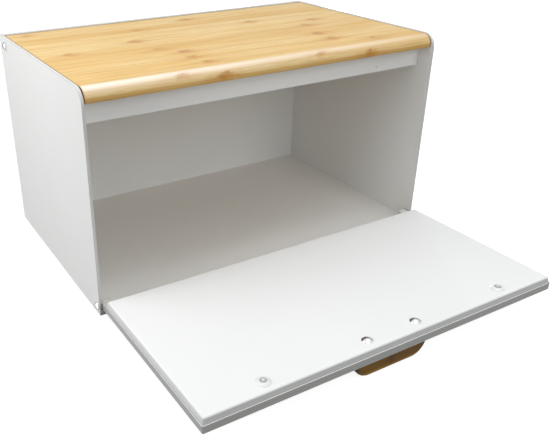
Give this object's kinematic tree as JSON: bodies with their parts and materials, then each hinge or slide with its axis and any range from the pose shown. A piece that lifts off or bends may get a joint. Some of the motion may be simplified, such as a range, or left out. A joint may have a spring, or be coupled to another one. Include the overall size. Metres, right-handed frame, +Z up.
{
  "type": "bread box",
  "caption": "Painted sheet-steel bread box with a hinged bamboo lid and a drop-down double-skinned door with a bamboo pull, stored with the door open.",
  "frame": {"origin": "middle of the footprint's bounding box at the feet's underside, with the door open", "axes": "+X to the right as seen from the front, +Y towards the back, +Z up; the door opens towards -Y"},
  "size_m": [0.365, 0.3928, 0.212],
  "materials": {
    "case_paint": "satin powder coat",
    "door_paint": "satin powder coat",
    "bamboo": "satin clear lacquer",
    "steel": "polished plating",
    "magnet": "dull plating",
    "nylon": "moulded",
    "rubber": "moulded",
    "silicone": "clear, soft"
  },
  "bodies": {
    "case": {"left_side_panel": "case_paint", "right_side_panel": "case_paint", "back_panel": "case_paint", "floor_panel": "case_paint", "front_rail": "case_paint", "foot_front_left": "rubber", "foot_front_right": "rubber", "foot_rear_left": "rubber", "foot_rear_right": "rubber", "lid_pad_left": "silicone", "lid_pad_right": "silicone"},
    "lid": {"lid_board": "bamboo", "lid_screw_left": "steel", "lid_screw_right": "steel", "lid_spacer_left": "nylon", "lid_spacer_right": "nylon"},
    "door": {"door_outer_pan": "door_paint", "door_inner_pan": "door_paint", "hinge_block_left": "nylon", "hinge_block_right": "nylon", "hinge_pin_left": "steel", "hinge_pin_right": "steel", "hinge_washer_left": "nylon", "hinge_washer_right": "nylon", "handle": "bamboo", "handle_screw_left": "steel", "handle_screw_right": "steel", "handle_sleeve_left": "steel", "handle_sleeve_right": "steel", "catch_cap_left": "silicone", "catch_cap_right": "silicone", "catch_magnet_left": "magnet", "catch_magnet_right": "magnet"}
  },
  "joints": [
    {"name": "lid_hinge", "type": "hinge", "parent": "case", "child": "lid", "pos_m": [0, 0.17975, 0.204], "axis": [-1, 0, 0], "range_deg": [0, 111]},
    {"name": "door_hinge", "type": "hinge", "parent": "case", "child": "door", "pos_m": [0, -0.01845, 0.0206], "axis": [-1, 0, 0], "range_deg": [0, 89.47]}
  ]
}
